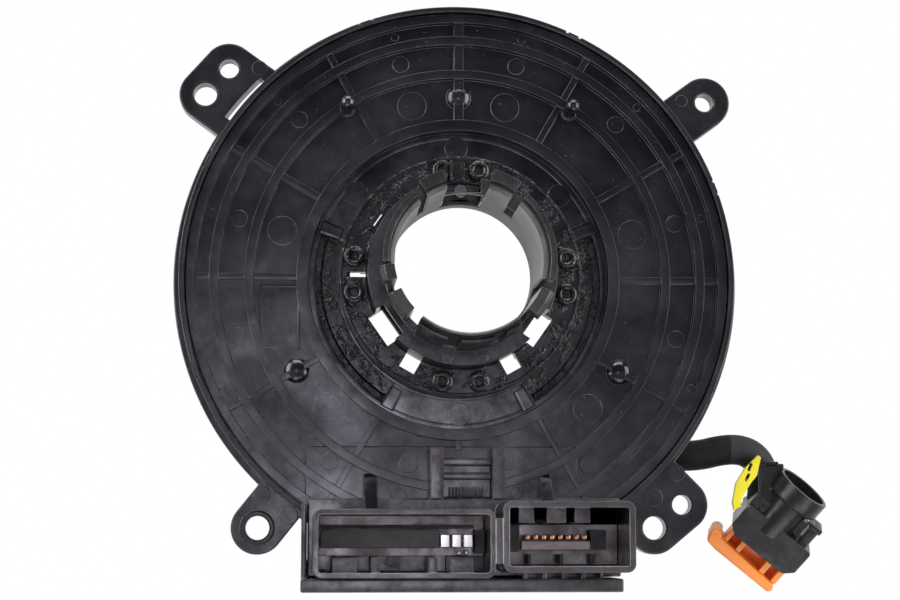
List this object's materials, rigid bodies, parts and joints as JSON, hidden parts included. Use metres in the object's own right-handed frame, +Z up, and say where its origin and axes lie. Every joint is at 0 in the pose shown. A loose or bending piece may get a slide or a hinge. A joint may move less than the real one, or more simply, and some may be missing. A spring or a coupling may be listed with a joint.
{
  "type": "steering clock spring",
  "caption": "Flat round steering clock spring with mounting ears, a cancelling sleeve through the middle, a connector block below and an airbag plug on a short taped cable.",
  "frame": {"origin": "on the turning axis, in the plane of the column side of the mounting ears", "axes": "+Y along the turning axis towards the steering wheel, +X to the right seen from the column side, +Z up away from the connector block"},
  "size_m": [0.1773, 0.0696, 0.1571],
  "materials": {
    "case_plastic": "black satin moulded, fine eroded texture",
    "cover_plastic": "black semi-gloss moulded",
    "sleeve_plastic": "black semi-gloss, greased",
    "ring_plastic": "black matt moulded",
    "header_plastic": "dark grey matt moulded",
    "contact_metal": "bright tinned copper alloy",
    "bright_contact": "bright tin plated",
    "screw_steel": "dark steel",
    "ribbon_film": "amber film",
    "slip_film": "pale low-friction film",
    "gear_plastic": "grey greased",
    "guide_plastic": "pale natural",
    "tape": "black wound tape, slight sheen",
    "plug_plastic": "black semi-gloss",
    "lock_plastic": "orange satin",
    "clip_plastic": "yellow satin"
  },
  "bodies": {
    "stator": {"case_ring": "case_plastic", "rear_cover": "cover_plastic", "connector_box": "case_plastic", "main_header": "header_plastic", "main_terminals": "bright_contact", "aux_header": "header_plastic", "aux_pins": "contact_metal", "lead_frame": "ring_plastic", "guide_ring": "guide_plastic", "ribbon_cable": "ribbon_film", "outer_clamp": "ring_plastic", "rear_slip_ring": "slip_film"},
    "rotor": {"rotor_plate": "ring_plastic", "sensor_gear": "gear_plastic", "lock_ring": "ring_plastic", "cancel_sleeve": "sleeve_plastic", "sleeve_screw": "screw_steel", "inner_clamp": "ring_plastic", "front_slip_ring": "slip_film", "wheel_header": "header_plastic", "wheel_pins": "contact_metal", "pigtail_gland": "ring_plastic", "pigtail": "tape", "airbag_plug": "plug_plastic", "airbag_contacts": "bright_contact", "airbag_clip": "clip_plastic"},
    "plug_lock": {"airbag_lock": "lock_plastic"}
  },
  "joints": [
    {"name": "rotor_spin", "type": "hinge", "parent": "stator", "child": "rotor", "pos_m": [0, 0, 0], "axis": [0, 1, 0], "range_deg": [-900, 900]},
    {"name": "lock_slide", "type": "slide", "parent": "rotor", "child": "plug_lock", "axis": [0.5835, -0.3746, 0.7206], "range_m": [0, 0.003]}
  ]
}
